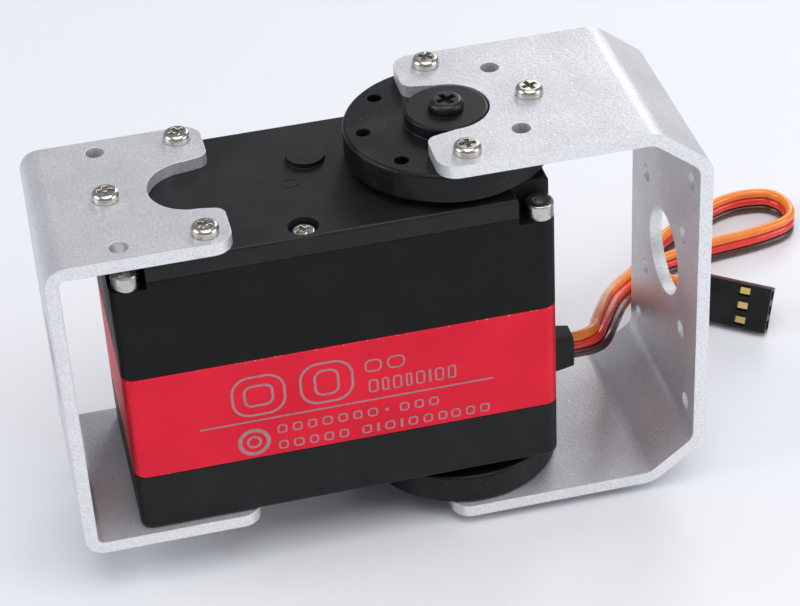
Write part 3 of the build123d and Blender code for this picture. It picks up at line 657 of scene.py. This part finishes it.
def finished(
    name: str,
    bm: bmesh.types.BMesh,
    coats: Sequence[Coat],
    body: str | None,
) -> bpy.types.Object:
    """Turns a bmesh into a piece that rides on a body.

    Args:
        name: the piece's name.
        bm: its shape, in the object's frame, freed here.
        coats: its finishes, in the order of its faces' material numbers.
        body: the body that it moves with, or None to leave it on no body.

    Returns:
        The piece.
    """
    mesh = bpy.data.meshes.new(name)
    bm.to_mesh(mesh)
    bm.free()
    for coat in coats:
        mesh.materials.append(coat.material())
    mesh.shade_smooth()
    mesh.set_sharp_from_angle(angle=SHARP_TURN)
    piece = bpy.data.objects.new(name, mesh)
    bpy.context.scene.collection.objects.link(piece)
    if body:
        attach(piece, body)
    logger.info("%s: %d faces", name, len(mesh.polygons))
    return piece


def softened(node: str, coat: Coat, body: str, edge: float) -> bpy.types.Object:
    """A copy of a CAD node with small rounds on its edges, which stands for the node.

    Args:
        node: the CAD node.
        coat: its finish.
        body: the body that it moves with.
        edge: size of the round, in millimetres.

    Returns:
        The piece.
    """
    bm = bmesh.new()
    bm.from_mesh(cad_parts[node].data)
    bmesh.ops.remove_doubles(bm, verts=bm.verts, dist=1e-6)
    bmesh.ops.dissolve_limit(bm, angle_limit=radians(0.6), verts=bm.verts, edges=bm.edges)
    piece = finished(f"{node}_finished", bm, [coat], body)
    rounds = piece.modifiers.new("edge_rounds", "BEVEL")
    rounds.width = edge * MM
    rounds.segments = 2
    rounds.limit_method = "ANGLE"
    rounds.angle_limit = SHARP_TURN
    rounds.miter_outer = "MITER_ARC"
    rounds.use_clamp_overlap = True
    shading = piece.modifiers.new("even_shading", "WEIGHTED_NORMAL")
    shading.keep_sharp = True
    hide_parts(node)
    return piece


def dress(nodes: Iterable[str], coat: Coat) -> None:
    """Gives CAD nodes a finish."""
    for node in nodes:
        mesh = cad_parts[node].data
        mesh.materials.clear()
        mesh.materials.append(coat.material())
        logger.info("%s keeps its shape", node)


# ---------------------------------------------------------------------------------------------
# Studio
# ---------------------------------------------------------------------------------------------


@dataclass(frozen=True)
class Lamp:
    """One square soft light that looks at the mount."""

    name: str
    place: Point
    size: float
    power: float
    colour: Colour
    target: Point = (0.0, 0.0, 0.03)

    def hang(self) -> None:
        """Makes the light."""
        lamp = bpy.data.lights.new(self.name, "AREA")
        lamp.size = self.size
        lamp.energy = self.power
        lamp.color = self.colour
        holder = bpy.data.objects.new(self.name, lamp)
        toward = Vector(self.target) - Vector(self.place)
        turn = toward.to_track_quat("-Z", "Y").to_matrix().to_4x4()
        holder.matrix_world = Matrix.Translation(self.place) @ turn
        bpy.context.scene.collection.objects.link(holder)


@dataclass
class Studio:
    """Camera, pale floor and soft lights."""

    camera_place: Point = (-0.05499, -0.29886, 0.25463)
    right: Point = (0.97251, -0.22818, -0.04645)
    up: Point = (0.17113, 0.56507, 0.80710)
    back: Point = (-0.15791, -0.79286, 0.58858)
    lens: float = 111.36
    sensor: float = 36.0
    floor_colour: Colour = (0.80, 0.815, 0.84)
    floor_cloud: Colour = (0.82, 0.835, 0.86)
    floor_size: float = 6.0
    room_colour: Colour = (0.86, 0.90, 0.97)
    room_strength: float = 0.30
    lamps: tuple[Lamp, ...] = (
        Lamp("behind", (0.52, 0.82, 0.52), 0.50, 2.9, (1.0, 0.99, 1.0)),
        Lamp("overhead", (0.05, -0.30, 1.15), 1.00, 8.8, (0.98, 0.99, 1.0)),
        Lamp("left", (-0.75, 0.05, 0.45), 0.50, 2.6, (0.95, 0.975, 1.0)),
        Lamp("right", (0.70, -0.35, 0.35), 0.45, 2.0, (1.0, 0.99, 1.0)),
    )

    def build(self) -> None:
        """Makes the camera, the floor and the lights."""
        self._camera()
        self._floor()
        for lamp in self.lamps:
            lamp.hang()
        world = bpy.data.worlds.new("soft_room")
        world.use_nodes = True
        room = world.node_tree.nodes["Background"]
        room.inputs["Color"].default_value = (*self.room_colour, 1.0)
        room.inputs["Strength"].default_value = self.room_strength
        bpy.context.scene.world = world
        bpy.context.scene.view_settings.view_transform = "Standard"

    def _camera(self) -> None:
        """Makes the camera."""
        camera = bpy.data.objects.new("camera", bpy.data.cameras.new("camera"))
        turn = Matrix((self.right, self.up, self.back)).transposed()
        camera.matrix_world = Matrix.Translation(self.camera_place) @ turn.to_4x4()
        camera.data.lens = self.lens
        camera.data.sensor_width = self.sensor
        camera.data.clip_start = 0.01
        bpy.context.scene.collection.objects.link(camera)
        bpy.context.scene.camera = camera

    def _floor(self) -> None:
        """Makes the pale floor."""
        shader = Shader("pale_floor")
        cloud = shader.noise(0.5, 2.0)
        colour = shader.blend(cloud.between(0.3, 0.7), self.floor_colour, self.floor_cloud)
        material = shader.finish(Base_Color=colour, Roughness=0.55 + cloud * 0.05)
        bm = bmesh.new()
        bmesh.ops.create_grid(bm, x_segments=8, y_segments=8, size=self.floor_size)
        mesh = bpy.data.meshes.new("floor")
        bm.to_mesh(mesh)
        bm.free()
        mesh.materials.append(material)
        floor = bpy.data.objects.new("floor", mesh)
        bpy.context.scene.collection.objects.link(floor)



# ---------------------------------------------------------------------------------------------
# Lead
# ---------------------------------------------------------------------------------------------


@dataclass
class ServoLead:
    """Three-wire ribbon lead, standing on its edge, with its plug."""

    width: float = 4.8
    wire: float = 1.6
    boot_tip: float = 18.4
    boot_middle: float = 8.6
    lying: float = -7.8
    plug_middle: float = -6.23
    joined: float = 1.03
    sides: int = 14
    rolls: Sequence[tuple[float, float]] = (
        (1.0, 0.0),
        (9.0, 48.0),
        (27.0, 48.0),
        (46.0, 0.0),
        (119.0, 0.0),
        (132.0, 27.0),
    )
    route: list[Vector] = field(default_factory=list)

    def __post_init__(self) -> None:
        """Lists the route's points."""
        low, plug = self.lying, self.plug_middle
        self.route = [
            at(self.boot_tip, 0.0, self.boot_middle),
            at(22.8, 0.0, self.boot_middle),
            at(25.4, 5.0, 7.6),
            at(28.2, 11.0, 5.4),
            at(31.0, 17.2, 2.6),
            at(34.6, 24.2, -1.2),
            at(39.2, 32.4, -5.2),
            at(43.4, 40.4, low),
            at(50.6, 46.6, low),
            at(58.4, 51.0, low),
            at(64.8, 53.6, low),
            at(72.6, 52.2, low),
            at(73.2, 43.8, low),
            at(65.6, 41.4, low),
            at(57.0, 40.6, low),
            at(49.6, 39.4, low),
            at(43.4, 37.4, low),
            at(42.6, 31.0, plug),
            at(47.8, 27.0, plug),
        ]

    def centreline(self) -> list[Vector]:
        """Reads the points of the route's smooth spline.

        Returns:
            Points from the boot to the plug, in metres.
        """
        curve = bpy.data.curves.new("lead_route", "CURVE")
        curve.dimensions = "3D"
        curve.resolution_u = 10
        spline = curve.splines.new("NURBS")
        spline.points.add(len(self.route) - 1)
        for point, place in zip(spline.points, self.route):
            point.co = (*place, 1.0)
        spline.order_u = 3
        spline.use_endpoint_u = True
        holder = bpy.data.objects.new("lead_route", curve)
        bpy.context.scene.collection.objects.link(holder)
        mesh = bpy.data.meshes.new_from_object(holder)
        points = [vertex.co.copy() for vertex in mesh.vertices]
        bpy.data.objects.remove(holder)
        return points

    def _frames(self, line: Sequence[Vector]) -> list[Matrix]:
        """Frames along a line, with X sideways, Y up and Z ahead, rolled about Z as rolls says."""
        frames = []
        travelled = 0.0
        for n, place in enumerate(line):
            ahead = (line[min(n + 1, len(line) - 1)] - line[max(n - 1, 0)]).normalized()
            side = ahead.cross(Vector((0.0, 0.0, 1.0))).normalized()
            turn = Matrix((side, side.cross(ahead), ahead)).transposed().to_4x4()
            travelled += (place - line[max(n - 1, 0)]).length / MM
            roll = Matrix.Rotation(radians(self._roll(travelled)), 4, "Z")
            frames.append(Matrix.Translation(place) @ turn @ roll)
        return frames

    def _roll(self, travelled: float) -> float:
        """The ribbon's roll in degrees, at a distance along it in millimetres."""
        for (start, first), (end, last) in zip(self.rolls, self.rolls[1:]):
            if start <= travelled < end:
                share = (travelled - start) / (end - start)
                return first + (last - first) * share * share * (3.0 - 2.0 * share)
        return self.rolls[0][1] if travelled < self.rolls[0][0] else self.rolls[-1][1]

    def build(self) -> None:
        line = self.centreline()
        bm = bmesh.new()
        along = bm.verts.layers.float.new("along")
        frames = self._frames(line)
        for number, lift in enumerate((1.0, 0.0, -1.0)):
            self._wire(bm, along, line, frames, number, lift * self.wire * MM)
        lead = finished("servo_lead_wires", bm, [Coat.ORANGE, Coat.RED, Coat.BROWN], None)
        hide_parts("servo_lead")
        plug = self._plug()
        tuple(at(19.5, 0.0, 8.0))
        tuple(at(27.2, 15.0, 8.0))
        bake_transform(lead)

    def _wire(
        self,
        bm: bmesh.types.BMesh,
        along: bmesh.types.BMLayerItem,
        line: Sequence[Vector],
        frames: Sequence[Matrix],
        number: int,
        lift: float,
    ) -> None:
        """Draws one wire of the ribbon along the line.

        Args:
            bm: the ribbon's bmesh.
            along: its layer for the distance along the lead.
            line: the ribbon's middle.
            frames: the rolled frames along it.
            number: the wire's material number.
            lift: the wire's height over the ribbon's middle, in metres.
        """
        raised = Matrix.Translation((0.0, lift, 0.0))
        radius = self.wire * MM * self.joined / 2
        ring = bmesh.ops.create_circle(
            bm, cap_ends=True, segments=self.sides, radius=radius, matrix=frames[0] @ raised
        )["verts"]
        edges = list({edge for vert in ring for edge in vert.link_edges if edge.other_vert(vert) in ring})
        drawn = list(ring[0].link_faces)
        travelled = 0.0
        for n in range(1, len(line)):
            grown = bmesh.ops.extrude_edge_only(bm, edges=edges)["geom"]
            verts = [item for item in grown if isinstance(item, bmesh.types.BMVert)]
            edges = [
                item
                for item in grown
                if isinstance(item, bmesh.types.BMEdge) and all(v in verts for v in item.verts)
            ]
            drawn += [item for item in grown if isinstance(item, bmesh.types.BMFace)]
            step = (frames[n] @ raised) @ (frames[n - 1] @ raised).inverted()
            bmesh.ops.transform(bm, matrix=step, verts=verts)
            travelled += (line[n] - line[n - 1]).length
            for vert in verts:
                vert[along] = travelled
        drawn += bmesh.ops.contextual_create(bm, geom=edges)["faces"]
        bmesh.ops.recalc_face_normals(bm, faces=drawn)
        for face in drawn:
            face.material_index = number
            face.smooth = True

    def _plug(self) -> list[bpy.types.Object]:
        """Dresses the plug's housing and contacts.

        Returns:
            The pieces on the lead's end.
        """
        housing = softened("connector_housing", Coat.PLUG, "yoke", 0.12)
        contacts = softened("connector_contacts", Coat.GOLD, "yoke", 0.06)
        return [housing, contacts]


# ---------------------------------------------------------------------------------------------
# Brackets, case, discs and drive
# ---------------------------------------------------------------------------------------------


@dataclass
class Brackets:
    """The short fixed bracket and the long yoke, with their screws."""

    round_edge: float = 0.22
    screw_edge: float = 0.07

    def build(self) -> None:
        """Makes both brackets and dresses their screws."""
        softened("yoke_bracket", Coat.SHEET, "yoke", self.round_edge)
        softened("short_bracket", Coat.SHEET, "servo", self.round_edge)
        for node in ("short_bracket_screws_top", "short_bracket_screws_bottom"):
            softened(node, Coat.NICKEL, "servo", self.screw_edge)
        for node in ("yoke_screws_top", "yoke_screws_bottom"):
            softened(node, Coat.NICKEL, "yoke", self.screw_edge)


@dataclass(frozen=True)
class Outline:
    """One printed outline of a rounded shape, in millimetres.

    Its centre is along and above, its size is length and height, corner is the radius of its
    corners and line the thickness of the printed line.
    """

    centre: tuple[float, float]
    size: tuple[float, float]
    corner: float
    line: float


@dataclass(frozen=True)
class Row:
    """A row of small shapes that stands where small print would be, in millimetres.

    It begins at start along the case and lies between low and high. The shapes have these lengths,
    with a gap between two, and the short ones are plain strokes.
    """

    start: float
    lengths: tuple[float, ...]
    gap: float
    low: float
    high: float


@dataclass
class ServoCase:
    """The case's four parts, their screws, the boot and the printing on the band."""

    front: float = -15.0
    proud: float = 0.03
    stroke_limit: float = 0.8
    row_line: float = 0.28
    outlines: tuple[Outline, ...] = (
        Outline((-33.3, 21.6), (8.2, 7.4), 2.9, 0.40),
        Outline((-33.3, 21.6), (4.6, 4.0), 1.4, 0.40),
        Outline((-23.1, 21.8), (8.2, 7.6), 3.0, 0.40),
        Outline((-23.1, 21.8), (3.9, 4.8), 1.5, 0.40),
        Outline((-34.6, 13.1), (5.0, 5.0), 2.5, 0.65),
        Outline((-34.6, 13.1), (2.3, 2.3), 1.15, 0.40),
    )
    rule: tuple[float, float, float, float] = (-42.4, 2.1, 16.9, 17.2)
    rows: tuple[Row, ...] = (
        Row(-17.3, (2.6, 2.7), 0.8, 22.2, 24.5),
        Row(-16.9, (1.5, 1.1, 1.4, 1.0, 1.4, 0.4, 1.4, 1.3), 0.55, 18.4, 20.8),
        Row(-31.0, (1.5, 1.5, 1.4, 1.6, 1.5, 1.4, 1.6), 0.8, 13.9, 15.5),
        Row(-14.6, (0.5,), 0.45, 14.5, 15.0),
        Row(-12.4, (1.5, 1.4, 1.5), 0.8, 13.9, 15.5),
        Row(-31.0, (1.5, 1.6, 1.4, 1.5, 1.5), 0.8, 10.9, 12.5),
        Row(-18.3, (1.5, 0.4, 1.6, 0.4, 1.5, 1.5, 1.4), 0.8, 10.9, 12.5),
        Row(-4.6, (1.5, 1.4, 1.5), 0.8, 10.9, 12.5),
    )

    def build(self) -> None:
        """Makes the case."""
        softened("top_cover", Coat.COVER, "servo", 0.20)
        softened("gear_housing", Coat.CASE, "servo", 0.12)
        softened("middle_case", Coat.BAND, "servo", 0.10)
        softened("bottom_cover", Coat.BOTTOM, "servo", 0.15)
        softened("strain_relief", Coat.RUBBER, "servo", 0.25)
        softened("top_corner_screws", Coat.SOCKET, "servo", 0.08)
        softened("bottom_corner_screws", Coat.SOCKET, "servo", 0.08)
        softened("side_case_screw", Coat.NICKEL, "servo", 0.07)
        self._print()

    def _flat(self, along: float, height: float) -> Matrix:
        """The place of a flat mark on the front, from the output axis and the case's underside."""
        place = Matrix.Translation(at(along, self.front - self.proud, height))
        return place @ Matrix.Rotation(radians(90), 4, "X")

    def _bar(
        self,
        bm: bmesh.types.BMesh,
        left: float,
        right: float,
        low: float,
        high: float,
    ) -> None:
        """One printed bar between two distances along and two heights, in millimetres."""
        size = Matrix.Diagonal(((right - left) / 2 * MM, (high - low) / 2 * MM, 1.0, 1.0))
        place = self._flat((left + right) / 2, (low + high) / 2)
        bmesh.ops.create_grid(bm, x_segments=1, y_segments=1, size=1.0, matrix=place @ size)

    def _outline(self, bm: bmesh.types.BMesh, shape: Outline) -> None:
        """Prints one outline, as a band between two rounded rings."""
        made = []
        edges = []
        for inset in (0.0, shape.line):
            start = Matrix.Rotation(pi / 32, 4, "Z")
            radius = max(shape.corner - inset, 0.05)
            ring = bmesh.ops.create_circle(bm, segments=32, radius=radius * MM, matrix=start)
            verts = ring["verts"]
            reach = [(length / 2 - inset - radius) * MM for length in shape.size]
            for vert in verts:
                shift = (copysign(reach[0], vert.co.x), copysign(reach[1], vert.co.y), 0.0)
                vert.co += Vector(shift)
            made += verts
            edges += list({edge for vert in verts for edge in vert.link_edges})
        bmesh.ops.bridge_loops(bm, edges=edges)
        bmesh.ops.transform(bm, matrix=self._flat(*shape.centre), verts=made)

    def _row(self, bm: bmesh.types.BMesh, row: Row) -> None:
        """Prints one row of small shapes."""
        left = row.start
        for length in row.lengths:
            if length < self.stroke_limit:
                self._bar(bm, left, left + length, row.low, row.high)
            else:
                middle = (left + length / 2, (row.low + row.high) / 2)
                size = (length, row.high - row.low)
                self._outline(bm, Outline(middle, size, 0.35 * length, self.row_line))
            left += length + row.gap

    def _print(self) -> None:
        """Prints plain outlined shapes, a ring, a rule and rows of small shapes on the band."""
        bm = bmesh.new()
        for shape in self.outlines:
            self._outline(bm, shape)
        self._bar(bm, *self.rule)
        for row in self.rows:
            self._row(bm, row)
        bmesh.ops.recalc_face_normals(bm, faces=bm.faces)
        wrong = [face for face in bm.faces if face.normal.y > 0]
        bmesh.ops.reverse_faces(bm, faces=wrong)
        finished("band_print", bm, [Coat.INK], "servo")


@dataclass
class Discs:
    """The output disc with its screw, and the idler disc with its own."""

    def build(self) -> None:
        """Makes both discs."""
        softened("output_horn", Coat.DISC, "yoke", 0.18)
        softened("idler_disc", Coat.DISC, "yoke", 0.18)
        softened("horn_screw", Coat.BLACKENED, "yoke", 0.08)
        softened("idler_screw", Coat.BLACKENED, "servo", 0.08)


@dataclass
class Drive:
    """Motor, gears, shafts, bearings and circuit board inside the case."""

    def build(self) -> None:
        """Dresses the inner pieces."""
        gears = ("gear_1", "gear_2", "gear_3", "output_gear", "motor_pinion")
        shafts = ("output_shaft", "motor_shaft", "sensor_shaft", "motor_mount_screws")
        axles = ("gear_axle_1", "gear_axle_2", "gear_axle_3")
        dress((*gears, *shafts, *axles), Coat.STEEL)
        places = ("upper", "lower", "idler")
        rings = [f"{place}_bearing_{ring}" for place in places for ring in ("outer", "inner")]
        dress(rings, Coat.BEARING)
        dress(("motor_can",), Coat.CAN)
        dress(("motor_magnets", "motor_brushes"), Coat.MAGNET)
        dress(("motor_armature",), Coat.WINDING)
        dress(("motor_commutator", "motor_terminals"), Coat.COPPER)
        dress(("motor_end_cap", "board_components", "board_spacers", "position_sensor"), Coat.CHIP)
        dress(("circuit_board",), Coat.BOARD)


def main() -> None:
    """Builds the mount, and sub-assembly by sub-assembly."""
    logging.basicConfig(level=logging.INFO, format="%(message)s")
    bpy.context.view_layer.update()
    for part in (Studio(), ServoLead(), Brackets(), ServoCase(), Discs(), Drive()):
        part.build()
        logger.info("%s built", type(part).__name__)
    bpy.context.view_layer.update()


if __name__ == "__main__":
    main()
